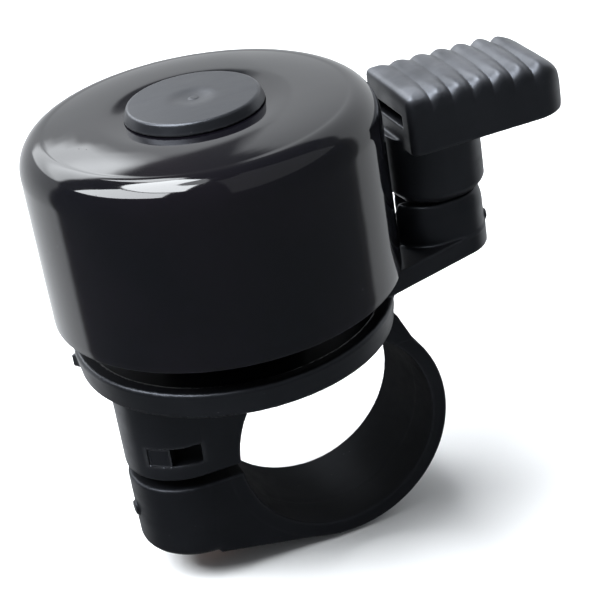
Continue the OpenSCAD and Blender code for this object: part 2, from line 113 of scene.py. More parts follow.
PIVOT_X, _, HUB_Z = joint_mm("lever_turn")
BEAD_X, _, BEAD_Z = joint_mm("strap_open")
CLAMP_X = joint_mm("screw_turn")[0]
BAR_R = frame["record"]["mounts"][0]["dims"]["r_mm"]

GONG_X = (GONG_LO[0] + GONG_HI[0]) / 2
GONG_R = (GONG_HI[0] - GONG_LO[0]) / 2
LIP_Z = GONG_LO[2]
CAP_R = (CAP_HI[0] - CAP_LO[0]) / 2
CAP_TOP = CAP_HI[2]
STRAP_W = STRAP_HI[1] - STRAP_LO[1]
STRAP_R = -STRAP_LO[2]
BOSS_R = STRAP_W / 2
BOSS_FOOT = box_mm("clamp_washer")[1][2]
UPPER_BOSS_Z = BASE_LO[2] if BASE_LO[2] > 0 else 0.2
BOSS_GAP_Z = UPPER_BOSS_Z - 1.1  # top of the lower boss
BASE_Z = BEAD_Z - 1.3  # underside of the tray
FLOOR_Z = BASE_Z + 1.6  # the tray's floor
RIM_Z = BASE_Z + 3.0
RIM_R = (BASE_HI[1] - BASE_LO[1]) / 2
RIM_WALL = 1.7
BASE_R = RIM_R - 0.3
LUG_Z = RIM_Z - 0.3
LUG_TOP = RIM_Z + 2
LUG_R = 4.35
LUG_ROOT_X = 6.0
POCKET_Z = RIM_Z + 0.7  # floor of the pocket that the arm swings in
SEAT_R = (SEAT_HI[0] - SEAT_LO[0]) / 2
POST_R = SEAT_R - 0.4
POST_Z = SEAT_LO[2]
SPLIT_X = 5.0  # where the saddle ends and the strap begins
SADDLE_TOP = BASE_Z + 0.8  # sunk into the tray
BEAD_HALF = BOSS_R - 1.1  # half length of the strap's snap bead
SCREW_R = 1.45
SCREW_HOLE = 1.65
HEAD_HOLE = 4.1
ARM_ANGLE = 150.0
ARM_Z = (RIM_Z + 1.5, RIM_Z + 2.7)
STRIKER_L = 17.5
STRIKER_Z = 22.0
STRIKER_R = 2.3
FAR = 60.0  # longer than the bell

# ---- distance fields ----
# A factor such as 0.85 on a leaning wall keeps its field's slope near 1.


def smooth_min(a, b, k):
    """The nearer of two fields, blended over k."""
    h = maximum(k - np.abs(a - b), 0) / k
    return minimum(a, b) - h * h * k / 4


def smooth_max(a, b, k):
    return -smooth_min(-a, -b, k)


def merged(fields, blend, k):
    """The fields taken together, one after another."""
    def field(x, y, z):
        out = fields[0](x, y, z)
        for other in fields[1:]:
            out = blend(out, other(x, y, z), k)
        return out
    return field


def join(*fields, k=0.4):
    """Union with a fillet of about k in its inside corners."""
    return merged(fields, smooth_min, k)


def common(*fields, k=0.25):
    """What the fields share, with the edges rounded by about k."""
    return merged(fields, smooth_max, k)


def cut(field, *tools, k=0.25):
    """Takes the tools away, rounding the cut's edges by about k."""
    outsides = [lambda x, y, z, tool=tool: -tool(x, y, z) for tool in tools]
    return merged([field, *outsides], smooth_max, k)


def slab(value, lo, hi):
    """Distance outside a range of one coordinate."""
    return np.abs(value - (lo + hi) / 2) - (hi - lo) / 2


def rounded(across, along, edge):
    """Joins the distances across and along an axis into a solid with a rounded edge."""
    a, b = across + edge, along + edge
    outside = hypot(maximum(a, 0), maximum(b, 0))
    return outside + minimum(maximum(a, b), 0) - edge


def rod_z(cx, r, z0, z1, edge=0.2):
    return lambda x, y, z: rounded(hypot(x - cx, y) - r, slab(z, z0, z1), edge)


def rod_y(cx, cz, r, y0, y1, edge=0.2):
    return lambda x, y, z: rounded(hypot(x - cx, z - cz) - r, slab(y, y0, y1), edge)


def block(lo, hi, edge=0.2):
    def field(x, y, z):
        q = [slab(v, a, b) + edge for v, a, b in zip((x, y, z), lo, hi)]
        outside = np.sqrt(sum(maximum(v, 0) ** 2 for v in q))
        return outside + minimum(maximum(maximum(q[0], q[1]), q[2]), 0) - edge
    return field


def outline(points):
    """Signed distance to a closed outline in a plane."""
    pts = np.array(points, float)

    def distance(u, v):
        best, sign = 1e9, 1.0
        for (ax, ay), (bx, by) in zip(pts, np.roll(pts, -1, axis=0)):
            ex, ey = bx - ax, by - ay
            wx, wy = u - ax, v - ay
            t = clip((wx * ex + wy * ey) / max(ex * ex + ey * ey, 1e-12), 0, 1)
            best = minimum(best, (wx - ex * t) ** 2 + (wy - ey * t) ** 2)
            crosses = (ay <= v) != (by <= v)
            side = ex * wy - ey * wx > 0
            sign = sign * np.where(crosses & (side == (by > ay)), -1.0, 1.0)
        return sign * np.sqrt(best)
    return distance


def extrude_y(points, y0, y1, edge=0.2):
    """An outline in x and z, drawn along y."""
    shape = outline(points)
    return lambda x, y, z: rounded(shape(x, z), slab(y, y0, y1), edge)


def extrude_z(points, z0, z1, edge=0.2):
    """An outline in x and y, drawn along z."""
    shape = outline(points)
    return lambda x, y, z: rounded(shape(x, y), slab(z, z0, z1), edge)


def turned(cx, points):
    """A solid turned round a vertical axis, from its outline in radius and height."""
    shape = outline(points)
    return lambda x, y, z: shape(hypot(x - cx, y), z)


def arc(cx, cy, rx, ry, a, b, steps=8):
    """Points of an elliptical arc from angle a to angle b, in degrees."""
    return [(cx + rx * cos(radians(t)), cy + ry * sin(radians(t)))
            for t in np.linspace(a, b, steps + 1)]


def facing(field, cx, angle, flip=1):
    """The field drawn along a direction, from a vertical axis at cx: x out, y across, z up."""
    c, s = cos(radians(angle)), sin(radians(angle))

    def turned_field(x, y, z):
        u, v = x - cx, y
        return field(u * c + v * s, flip * (v * c - u * s), z)
    return turned_field


def along_arm(field):
    """The field drawn along the resting arm: x along it, y towards the gong's wall, z up."""
    return facing(field, PIVOT_X, ARM_ANGLE, flip=-1)


def thread(cx, r, pitch, z0, z1):
    """A screw thread's ridge, wound round a vertical axis."""
    def field(x, y, z):
        phase = z / pitch - np.arctan2(y, x - cx) / (2 * pi)
        depth = np.abs(phase - np.round(phase)) * pitch * 1.1
        wall = (hypot(x - cx, y) - r + depth) * 0.7
        return maximum(wall, slab(z, z0, z1))
    return field


def cross_recess(cx, z, reach, depth, up=1):
    """A cross recess sunk into a head whose face is at z; its wings narrow as they go down."""
    def field(x, y, z_here):
        down = (z - z_here) * up
        u, v = np.abs(x - cx), np.abs(y)
        width = 0.18 * reach - 0.1 * down
        length = reach - 0.55 * down
        wing = minimum(maximum(u - width, v - length), maximum(v - width, u - length))
        return maximum(wing * 0.85, down - depth)
    return field


def pan_head(cx, r, z, h, up=1):
    """A pan head that stands on z: a low dome with a rounded edge."""
    points = [(0, 0), (r - 0.1, 0), (r, 0.12)]
    points += arc(0.55 * r, 0.3 * h, 0.45 * r, 0.7 * h, 0, 90, 10) + [(0, h)]
    head = turned(cx, points)
    return lambda x, y, z_here: head(x, y, (z_here - z) * up)


# ---- meshes ----

CORNERS = [(i, j, k) for i in (0, 1) for j in (0, 1) for k in (0, 1)]
EDGES = [(a, b) for a in CORNERS for b in CORNERS if a < b and sum(map(abs, np.subtract(a, b))) == 1]


def shifted(grid, corner):
    """The grid as each cell sees it at one of its corners."""
    return grid[tuple(slice(c, n - 1 + c) for c, n in zip(corner, grid.shape))]


def gradient(field, p, h=0.01):
    """How the field rises at each point, measured over a short step."""
    out = np.empty_like(p)
    for axis in range(3):
        step = np.zeros(3)
        step[axis] = h
        ahead, behind = p + step, p - step
        out[:, axis] = (field(*ahead.T) - field(*behind.T)) / (2 * h)
    return out


def skin(field, lo, hi, step):
    """Points, quads and normals of a field's surface: one point a cell, drawn onto the surface."""
    axes = [np.arange(a - 1.5 * step, b + 2.5 * step, step) for a, b in zip(lo, hi)]
    x, y, z = np.meshgrid(*axes, indexing="ij", sparse=True)
    value = np.broadcast_to(field(x, y, z), [len(a) for a in axes])
    inside = value < 0
    count = sum(shifted(inside, c).astype(np.int8) for c in CORNERS)
    cells = np.argwhere((count > 0) & (count < 8))
    number = np.full(count.shape, -1)
    number[tuple(cells.T)] = np.arange(len(cells))
    place, hits = np.zeros((len(cells), 3)), np.zeros(len(cells))
    for a, b in EDGES:
        va, vb = value[tuple((cells + a).T)], value[tuple((cells + b).T)]
        crossed = (va < 0) != (vb < 0)
        t = np.where(crossed, va / np.where(crossed, va - vb, 1), 0)
        place += crossed[:, None] * (np.array(a) + np.subtract(b, a) * t[:, None])
        hits += crossed
    points = (cells + place / hits[:, None]) * step + [a[0] for a in axes]
    for _ in range(4):
        slope = gradient(field, points)
        size = maximum((slope ** 2).sum(1), 0.05)
        move = slope * (field(*points.T) / size)[:, None]
        points -= clip(move, -0.4 * step, 0.4 * step)
    quads = []
    for axis in range(3):
        u, v = np.eye(3, dtype=int)[[(axis + 1) % 3, (axis + 2) % 3]]
        ahead = np.moveaxis(inside, axis, 0)
        edge = np.argwhere(np.moveaxis(ahead[:-1] != ahead[1:], 0, axis))
        ring = np.stack([number[tuple((edge - s).T)] for s in (0 * u, u, u + v, v)], 1)
        outward = inside[tuple(edge.T)]
        quads.append(np.where(outward[:, None], ring, ring[:, ::-1]))
    slope = gradient(field, points)
    normals = slope / maximum(np.linalg.norm(slope, axis=1, keepdims=True), 1e-9)
    return points, np.concatenate(quads), normals


def linked(name, data):
    """A new object, put in the scene."""
    obj = bpy.data.objects.new(name, data)
    bpy.context.scene.collection.objects.link(obj)
    return obj


def add_object(name, mesh, slot, material, body=None, replaces=()):
    """A visible piece, with its material, its body and the CAD nodes that it stands for."""
    piece = linked(name, mesh)
    mesh.materials.append(material)
    if body:
        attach(piece, body)
    if replaces:
        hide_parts(*replaces)
    return piece


def point_values(mesh, name, values):
    """Stores one number at each point of a mesh."""
    mesh.attributes.new(name, "FLOAT", "POINT").data.foreach_set("value", values.astype(np.float32))


def moulded(name, field, step, box=None, feel=0.4, wear_and_highlight=None, **place):
    """A piece skinned from a field, in the box of the node that it replaces if no other is given.

    Its points know how exposed and sheltered they are, and how much thumb wear and painted highlight lighten
    them.
    """
    lo, hi = box or box_mm(place["replaces"][0])
    points, quads, normals = skin(field, lo, hi, step * COARSE)
    mesh = bpy.data.meshes.new(name)
    mesh.from_pydata((points * MM).tolist(), [], quads.tolist())
    mesh.polygons.foreach_set("use_smooth", np.ones(len(quads), bool))
    mesh.update()
    under, over = points - normals * feel, points + normals * feel
    point_values(mesh, "exposed", clip(1 + field(*under.T) / feel, 0, 1))
    point_values(mesh, "sheltered", clip(1 - field(*over.T) / feel, 0, 1))
    if wear_and_highlight:
        point_values(mesh, "wear_and_highlight", wear_and_highlight(points, normals))
    mesh.normals_split_custom_set_from_vertices(normals.tolist())
    return add_object(name, mesh, **place)


def wheel(rows, closed, steps):
    """Faces between neighbouring rings of points; a ring of one point closes to a cap."""
    starts = np.cumsum([0] + [len(row) for row in rows])
    faces = []
    for n in range(len(rows) if closed else len(rows) - 1):
        m = (n + 1) % len(rows)
        a, b = int(starts[n]), int(starts[m])
        wide, next_wide = len(rows[n]), len(rows[m])
        if wide == next_wide == 1:
            continue
        for i in range(steps):
            j = (i + 1) % steps
            corners = (a + i % wide, a + j % wide, b + j % next_wide, b + i % next_wide)
            faces.append(tuple(dict.fromkeys(corners)))
    return faces


def smooth_mesh(name, rows, faces):
    mesh = bpy.data.meshes.new(name)
    mesh.from_pydata([tuple(np.array(p) * MM) for row in rows for p in row], [], faces)
    mesh.update()
    mesh.polygons.foreach_set("use_smooth", np.ones(len(faces), bool))
    mesh.set_sharp_from_angle(angle=SMOOTH_ANGLE)
    return mesh


def lathed(name, points, cx, steps=192, **place):
    """A closed outline in radius and height, turned round a vertical axis at cx."""
    turn = [2 * pi * i / steps for i in range(steps)]
    rows = [[(cx, 0, h)] if r < 1e-6 else [(cx + r * cos(t), r * sin(t), h) for t in turn]
            for r, h in points]
    return add_object(name, smooth_mesh(name, rows, wheel(rows, True, steps)), **place)


def wire(name, path, r, steps=16, **place):
    """A round wire along a path that stays nearly level, with rounded ends."""
    path = np.array(path)
    ahead = np.gradient(path, axis=0)
    ahead /= np.linalg.norm(ahead, axis=1, keepdims=True)
    spots = [(path[0] - ahead[0] * r * s, ahead[0], sqrt(1 - s * s)) for s in (1, 0.8, 0.4)]
    spots += [(p, d, 1.0) for p, d in zip(path, ahead)]
    spots += [(path[-1] + ahead[-1] * r * s, ahead[-1], sqrt(1 - s * s)) for s in (0.4, 0.8, 1)]
    rows = []
    for p, d, width in spots:
        side = np.cross(d, (0.0, 0.0, 1.0))
        side /= np.linalg.norm(side)
        over = np.cross(side, d)
        turn = np.linspace(0, 2 * pi, steps, endpoint=False) if width else [0]
        rows.append([p + r * width * (cos(t) * side + sin(t) * over) for t in turn])
    return add_object(name, smooth_mesh(name, rows, wheel(rows, False, steps)), **place)


# ---- materials ----

MIX_INPUTS, MIX_RESULT = (0, 6, 7), 2  # factor, both colours and the result of a colour mix


class Nodes:
    """Builds one material's node tree."""

    def __init__(self, name):
        self.material = bpy.data.materials.new(name)
        self.material.use_nodes = True
        self.tree = self.material.node_tree
        self.shader = self.tree.nodes["Principled BSDF"]
        self.position = self.tree.nodes.new("ShaderNodeTexCoord").outputs["Object"]

    def link(self, source, target):
        self.tree.links.new(source, target)

    def attribute(self, name):
        """A value that the mesh holds at its points, or 0 where it has none."""
        node = self.tree.nodes.new("ShaderNodeAttribute")
        node.attribute_name = name
        return node.outputs["Fac"]

    def scaled(self, per_mm, stretch=(1, 1, 1)):
        mapping = self.tree.nodes.new("ShaderNodeMapping")
        mapping.inputs["Scale"].default_value = [s * per_mm / MM for s in stretch]
        self.link(self.position, mapping.inputs["Vector"])
        return mapping.outputs["Vector"]

    def noise(self, per_mm, detail=3.0, roughness=0.5, stretch=(1, 1, 1)):
        """Noise with so many features to the millimetre, between 0 and 1."""
        node = self.tree.nodes.new("ShaderNodeTexNoise")
        node.inputs["Scale"].default_value = 1.0
        node.inputs["Detail"].default_value = detail
        node.inputs["Roughness"].default_value = roughness
        self.link(self.scaled(per_mm, stretch), node.inputs["Vector"])
        return node.outputs["Fac"]

    def specks(self, per_mm, size, stretch=(1, 1, 1)):
        """1 inside sparse specks, 0 elsewhere."""
        node = self.tree.nodes.new("ShaderNodeTexVoronoi")
        node.inputs["Scale"].default_value = 1.0
        self.link(self.scaled(per_mm, stretch), node.inputs["Vector"])
        return self.ramp(node.outputs["Distance"], [(size * 0.6, 1.0), (size, 0.0)])

    def ramp(self, source, stops):
        """Maps a value through grey or coloured stops."""
        node = self.tree.nodes.new("ShaderNodeValToRGB")
        ramp = node.color_ramp
        while len(ramp.elements) < len(stops):
            ramp.elements.new(0.5)
        for element, (at, value) in zip(ramp.elements, stops):
            element.position = at
            rgb = (value,) * 3 if isinstance(value, (int, float)) else value
            element.color = (*rgb, 1)
        self.link(source, node.inputs["Fac"])
        return node.outputs["Color"]

    def feed(self, value, socket):
        """Gives a socket a number or a colour, or links it to another socket."""
        if isinstance(value, tuple):
            socket.default_value = (*value, 1)
        elif isinstance(value, (int, float)):
            socket.default_value = value
        else:
            self.link(value, socket)

    def set(self, name, value):
        """Fills a socket of the shader itself."""
        self.feed(value, self.shader.inputs[name])

    def math(self, kind, a, b):
        node = self.tree.nodes.new("ShaderNodeMath")
        node.operation = kind
        self.feed(a, node.inputs[0])
        self.feed(b, node.inputs[1])
        return node.outputs[0]

    def mix(self, factor, a, b):
        node = self.tree.nodes.new("ShaderNodeMix")
        node.data_type = "RGBA"
        for value, socket in zip((factor, a, b), MIX_INPUTS):
            self.feed(value, node.inputs[socket])
        return node.outputs[MIX_RESULT]

    def bump(self, height, depth):
        """Bump of the given depth in millimetres."""
        node = self.tree.nodes.new("ShaderNodeBump")
        node.inputs["Strength"].default_value = 1.0
        node.inputs["Distance"].default_value = depth * MM
        self.link(height, node.inputs["Height"])
        self.set("Normal", node.outputs["Normal"])


def paint(name):
    """Gloss black enamel with a little orange peel, dust specks and fine wiping marks."""
    n = Nodes(name)
    specks = n.math("MULTIPLY", n.specks(0.5, 0.045), n.ramp(n.noise(0.08, 2), [(0.5, 0.0), (0.6, 1.0)]))
    tint = n.ramp(n.noise(0.05, 2), [(0.35, (0.0015, 0.0018, 0.003)), (0.7, (0.0035, 0.0028, 0.0045))])
    n.set("Base Color", n.mix(specks, tint, (0.03, 0.03, 0.034)))
    wiping = n.ramp(n.noise(0.5, 4, 0.6, (0.3, 0.3, 2.5)), [(0.35, 0.05), (0.7, 0.085)])
    n.set("Roughness", n.math("ADD", wiping, n.math("MULTIPLY", specks, 0.35)))
    n.bump(n.math("ADD", n.noise(0.22, 1.5), n.math("MULTIPLY", specks, 0.5)), 0.018)
    return n.material


RUBBED = (0.05, 0.05, 0.053)  # dust and rubbed plastic
THUMB_WEAR_AND_HIGHLIGHT = (0.075, 0.078, 0.086)  # plastic greyed by the thumb, and a painted highlight on the pad's top
COOL = (0.84, 0.89, 1.0)  # the plastic's sheen leans blue


def plastic(name, dark, light, rough_low, rough_high, wear_and_highlight_colour=RUBBED, grain=7.0, depth=0.006, sheen=0.5):
    """Satin moulded plastic: fine grain, uneven sheen, rubbed edges, dusty corners, a few scuffs, and thumb
    wear with a painted highlight where the mesh holds it.
    """
    n = Nodes(name)
    cloud = n.ramp(n.noise(0.12, 4), [(0.3, 0.0), (0.7, 1.0)])
    flow = n.noise(0.35, 3, 0.6, (0.4, 1, 1.8))
    rubbed = n.ramp(n.attribute("exposed"), [(0.15, 0.0), (0.6, 0.18)])
    dust = n.ramp(n.attribute("sheltered"), [(0.2, 0.0), (0.7, 0.25)])
    patches = n.ramp(n.noise(0.1, 2), [(0.5, 0.0), (0.6, 1.0)])
    scuffs = n.math("MULTIPLY", n.specks(0.9, 0.07, (0.5, 1, 1)), patches)
    marks = n.math("MAXIMUM", n.math("MAXIMUM", rubbed, dust), scuffs)
    uneven = n.ramp(n.noise(0.25, 4, 0.6), [(0.3, 0.35), (0.6, 1.0)])
    # Lighter where the thumb wears the lever and where the pad's top faces up: thumb wear and a painted
    # highlight.
    wear_and_highlight = n.math("MULTIPLY", n.attribute("wear_and_highlight"), uneven)
    clean = n.mix(marks, n.mix(cloud, dark, light), RUBBED)
    n.set("Base Color", n.mix(wear_and_highlight, clean, wear_and_highlight_colour))
    n.set("Roughness", n.ramp(flow, [(0.3, rough_low), (0.72, rough_high)]))
    fine = n.math("ADD", n.noise(grain, 2), n.math("MULTIPLY", flow, 0.5))
    n.bump(n.math("ADD", fine, n.math("MULTIPLY", scuffs, 0.6)), depth)
    n.set("Specular IOR Level", sheen)
    n.set("Specular Tint", COOL)
    return n.material


def metal(name, colour, tarnish, rough_low, rough_high, stretch=(1, 1, 1)):
    """Plated metal with tarnish in patches and fine working marks."""
    n = Nodes(name)
    patches = n.ramp(n.noise(0.7, 5, 0.65), [(0.42, 0.0), (0.66, 1.0)])
    n.set("Base Color", n.mix(patches, colour, tarnish))
    marks = n.noise(6, 4, 0.6, stretch)
    n.set("Roughness", n.ramp(marks, [(0.3, rough_low), (0.7, rough_high)]))
    n.bump(marks, 0.004)
    n.set("Metallic", 1.0)
    return n.material


def rubber(name):
    """Dull black rubber with a powdery bloom."""
    n = Nodes(name)
    bloom = n.ramp(n.noise(0.9, 5, 0.7), [(0.4, 0.0), (0.75, 1.0)])
    n.set("Base Color", n.mix(bloom, (0.018, 0.017, 0.016), (0.06, 0.058, 0.055)))
    n.set("Roughness", n.ramp(bloom, [(0.0, 0.7), (1.0, 0.95)]))
    n.bump(n.noise(4, 3), 0.01)
    return n.material


def look(slot, make, *args, **options):
    """A material and the slot of the record that it fills."""
    return {"slot": slot, "material": make(slot, *args, **options)}


BLACK = ((0.0025, 0.0027, 0.0036), (0.0045, 0.0047, 0.006))
GREY_BLACK = ((0.004, 0.0042, 0.0052), (0.007, 0.0072, 0.0086))
GONG_PAINT = look("gong_paint", paint)
BASE_PLASTIC = look("base_plastic", plastic, *BLACK, 0.3, 0.42)
STRAP_PLASTIC = look("strap_plastic", plastic, *BLACK, 0.36, 0.5, sheen=0.3)
LEVER_PLASTIC = look("lever_plastic", plastic, *GREY_BLACK, 0.34, 0.5, THUMB_WEAR_AND_HIGHLIGHT)
CAP_PLASTIC = look("cap_plastic", plastic, *GREY_BLACK, 0.3, 0.42, grain=5.0, sheen=0.66)
ZINC = look("zinc_steel", metal, (0.62, 0.62, 0.63), (0.35, 0.35, 0.36), 0.28, 0.45)
SPRING = look("spring_steel", metal, (0.45, 0.46, 0.48), (0.25, 0.26, 0.28), 0.2, 0.35, (1, 1, 6))
COPPER = look("screw_copper", metal, (0.42, 0.2, 0.12), (0.2, 0.1, 0.07), 0.35, 0.55)
RUBBER = look("seat_rubber", rubber)

# ---- gong and cap ----

SHEET = 0.9  # thickness of the gong
SHOULDER_A, SHOULDER_B = 2.95, 3.35  # rounding of the shoulder, inwards and downwards
SHOULDER_Z = 37.45
SHOULDER_IN = GONG_R - SHOULDER_A
CROWN_H = 0.4
CREST_R = 10.0
WELL_R = 5.6
WELL_Z = SEAT_HI[2] + 0.1
WELL_EDGE = 0.6
HOLE_R = 2.7


def crown(r):
    """Height of the gong's top at radius r: a low crown that dips towards the cap."""
    if r > CREST_R:
        return SHOULDER_Z + CROWN_H * (1 - ((r - CREST_R) / (SHOULDER_IN - CREST_R)) ** 2)
    u = (CREST_R - r) / (CREST_R - WELL_R - WELL_EDGE)
    return SHOULDER_Z + CROWN_H - 0.3 * u * u * (3 - 2 * u)


def gong():
    """The pressed gong: lip, shoulder, crown and the well that the cap sits in."""
    lip = 0.22
    bottom = SHOULDER_Z - SHOULDER_B
    brink = WELL_R + WELL_EDGE
    top = crown(brink)
    outer = arc(GONG_R - lip, LIP_Z + lip, lip, lip, -80, 0, 5)
    outer += [(GONG_R, LIP_Z + 1), (GONG_R, LIP_Z + 8), (GONG_R, bottom - 0.5)]
    outer += arc(SHOULDER_IN, bottom, SHOULDER_A, SHOULDER_B, 0, 90, 40)
    outer += [(r, crown(r)) for r in np.linspace(SHOULDER_IN, brink, 36)[1:]]
    outer += arc(brink, top - WELL_EDGE, WELL_EDGE, WELL_EDGE, 90, 180, 8)[1:]
    well = arc(WELL_R - 0.4, WELL_Z + 0.4, 0.4, 0.4, 0, -90, 4)
    well += [(HOLE_R, WELL_Z), (HOLE_R, WELL_Z - SHEET)]
    inside = WELL_R + SHEET
    inner = [(inside - 0.4, WELL_Z - SHEET), (inside, WELL_Z - SHEET + 0.4),
             (inside, top - SHEET - 0.5), (inside + 0.5, top - SHEET)]
    inner += [(r, crown(r) - SHEET) for r in np.linspace(inside + 1, SHOULDER_IN, 20)]
    inner += arc(SHOULDER_IN, bottom, SHOULDER_A - SHEET, SHOULDER_B - SHEET, 90, 0, 24)[1:]
    inner += [(GONG_R - SHEET, LIP_Z + 8), (GONG_R - SHEET, LIP_Z + 0.25)]
    inner += arc(GONG_R - SHEET + 0.2, LIP_Z + 0.2, 0.2, 0.2, 180, 260, 4)
    lathed("gong_shell", outer + well + inner, GONG_X, steps=256,
           body="base", replaces=["gong_dome"], **GONG_PAINT)


def cap():
    """A low disc with a leaning side, a faint sink mark and the stub of its moulding gate."""
    foot = crown(CAP_R) + 0.05
    lean, fall, sink_r = 0.4, 0.05, 1.5

    def disc(x, y, z):
        r = hypot(x - GONG_X, y)
        side = (r - CAP_R + lean * maximum(z - foot - 0.1, 0)) * 0.9
        top = z - CAP_TOP + fall * (r / CAP_R) ** 2
        body = smooth_max(smooth_max(side, top, 0.22), foot - z, 0.12)
        sink = hypot(r, (z - CAP_TOP) * 8) - sink_r
        return smooth_max(body, -sink * 0.2, 0.3)

    gate = rod_z(GONG_X + 0.1, 0.5, foot, CAP_TOP - 0.14, 0.12)
    skirt = turned(GONG_X, [(WELL_R - 0.9, foot + 0.1), (WELL_R - 0.9, WELL_Z + 1.2),
                            (WELL_R - 0.4, WELL_Z + 1.2), (WELL_R - 0.1, WELL_Z + 1.6),
                            (WELL_R - 0.1, foot + 0.1)])

    def fingers(x, y, z):
        """Six slits that part the skirt into snap fingers."""
        across = np.minimum.reduce([
            np.abs((x - GONG_X) * sin(t) - y * cos(t)) for t in np.radians([30, 90, 150])])
        return maximum(across - 0.5, z - foot + 0.3)

    lo = (GONG_X - CAP_R, -CAP_R, WELL_Z + 1)
    moulded("cap_disc", join(disc, gate, cut(skirt, fingers, k=0.1), k=0.12), 0.14, (lo, CAP_HI),
            feel=0.25, body="base", replaces=["gong_cap"], **CAP_PLASTIC)


# ---- base moulding ----

CHAMBER_R = 3.1
SHAFT_R = 1.9
SHAFT_FOOT_R = 1.5
HOUSING_R = 4.25
HOUSING_SHOULDER = HUB_Z - 2.0
HOUSING_L = 1.9  # how far the post is drawn out towards the gong


def lever_post():
    """The tube that the lever turns in: drawn out towards the gong, with a rounded shoulder."""
    def field(x, y, z):
        t = clip((z - HOUSING_SHOULDER) / 1.9, 0, 1)
        wall = HOUSING_R - 0.65 * (1 - np.sqrt(1 - t * t))
        along = clip(x, PIVOT_X - HOUSING_L, PIVOT_X)
        return rounded(hypot(x - along, y) - wall, slab(z, LUG_TOP - 0.3, HUB_Z - 0.08), 0.12)
    return field


def arm_window():
    """The opening that the striker arm swings in. Its first side is the lever's stop."""
    swing, tight, reach = radians(29), 6.1, 14.0
    narrow_half, wide_half = 1.06, 1.8

    def room(u, v):
        narrow = maximum(slab(u, 0, tight), np.abs(v) - narrow_half)
        wide = maximum(slab(u, tight - 0.1, reach), np.abs(v) - wide_half)
        return minimum(narrow, wide)

    def field(u, v, z):
        along = u * cos(swing) + v * sin(swing)
        beside = v * cos(swing) - u * sin(swing)
        between = maximum(maximum(-v, beside), hypot(u, v) - reach)
        plan = minimum(minimum(room(u, v), room(along, beside)), between)
        return maximum(plan, POCKET_Z - z)
    return facing(field, PIVOT_X, ARM_ANGLE)


def lug():
    """The lug that carries the lever post, tapered outwards, and the filling under it in the tray."""
    taper = radians(17)
    end_x, end_y = PIVOT_X + LUG_R * sin(taper), LUG_R * cos(taper)
    root_y = end_y + (end_x - LUG_ROOT_X) * tan(taper)
    plan = [(LUG_ROOT_X, -root_y), (end_x, -end_y), (end_x, end_y), (LUG_ROOT_X, root_y)]
    end = rod_z(PIVOT_X, LUG_R, LUG_Z, LUG_TOP, 0.25)
    inside = rod_z(GONG_X, RIM_R - 0.3, BASE_Z, LUG_TOP)
    filling = common(extrude_z(plan, FLOOR_Z - 0.2, LUG_Z + 0.4), inside, k=0.05)
    return join(extrude_z(plan, LUG_Z, LUG_TOP, 0.25), end, filling, k=0.02)


def tray():
    """The round tray with its raised, softly rounded rim."""
    lip, inside = 0.5, RIM_R - RIM_WALL
    points = [(0, BASE_Z), (BASE_R - 0.25, BASE_Z), (BASE_R, BASE_Z + 0.25)]
    points += arc(RIM_R - lip, RIM_Z - lip, lip, lip, 0, 90, 8)
    points += [(inside + 0.25, RIM_Z), (inside, RIM_Z - 0.25), (inside, FLOOR_Z), (0, FLOOR_Z)]
    return turned(GONG_X, points)


def ribs(x, y, z):
    """Six ribs that stiffen the tray's floor round the centre post."""
    pitch = pi / 3
    angle = np.arctan2(y, x - GONG_X)
    r = hypot(x - GONG_X, y)
    across = np.abs(r * np.sin(angle - np.round(angle / pitch) * pitch)) - 0.6
    return maximum(maximum(across, r - POST_R - 4.5), slab(z, BASE_Z + 0.2, FLOOR_Z + 1.4))


def centre_post():
    """The post under the gong, on a wider foot."""
    return join(rod_z(GONG_X, POST_R, BASE_Z + 0.1, POST_Z, 0.15),
                rod_z(GONG_X, POST_R + 1.2, BASE_Z + 0.1, FLOOR_Z + 2), k=0.5)


def saddle():
    """The saddle over the handlebar and the upper screw boss."""
    boss = rod_z(CLAMP_X, BOSS_R, UPPER_BOSS_Z, SADDLE_TOP, 0.35)
    body = block((CLAMP_X, -BOSS_R, UPPER_BOSS_Z), (SPLIT_X, BOSS_R, SADDLE_TOP), 0.3)
    return cut(join(boss, body, k=0.02), rod_y(0, 0, BAR_R, -FAR, FAR), k=0.3)


NUT_SLOT_ANGLE = 245
NUT_SLOT_HALF = 2.85
NUT_SLOT_Z = (NUT_LO[2], NUT_LO[2] + 2.1)


def nut_slot(u, v, z):
    """The slot in the side of the upper boss that takes the nut."""
    return maximum(maximum(np.abs(v) - NUT_SLOT_HALF, -NUT_SLOT_HALF - u), slab(z, *NUT_SLOT_Z))


def mould_marks():
    """A gate nib on the lever post and a scrap of flash on the tray's edge."""
    def nib(u, v, z):
        return rounded(hypot(v, z - LUG_TOP - 0.5) - 0.55, slab(u, 3, LUG_R + 0.2), 0.2)

    def flash(u, v, z):
        wedge = maximum(u - BASE_R + np.abs(v) * 0.9 - 0.75, BASE_R - 1 - u)
        return maximum(wedge, slab(z, BASE_Z, BASE_Z + 1.4))
    return join(facing(nib, PIVOT_X, -17), facing(flash, GONG_X, 166), k=0.1)


def strap_socket():
    """The socket that the strap's bead snaps into, open downwards."""
    half = BEAD_HALF + 0.15
    return join(rod_y(BEAD_X, BEAD_Z, 1.15, -half, half, 0.1),
                block((BEAD_X - 0.75, -half, BASE_Z - 1), (BEAD_X + 0.9, half, BEAD_Z), 0.05), k=0.05)


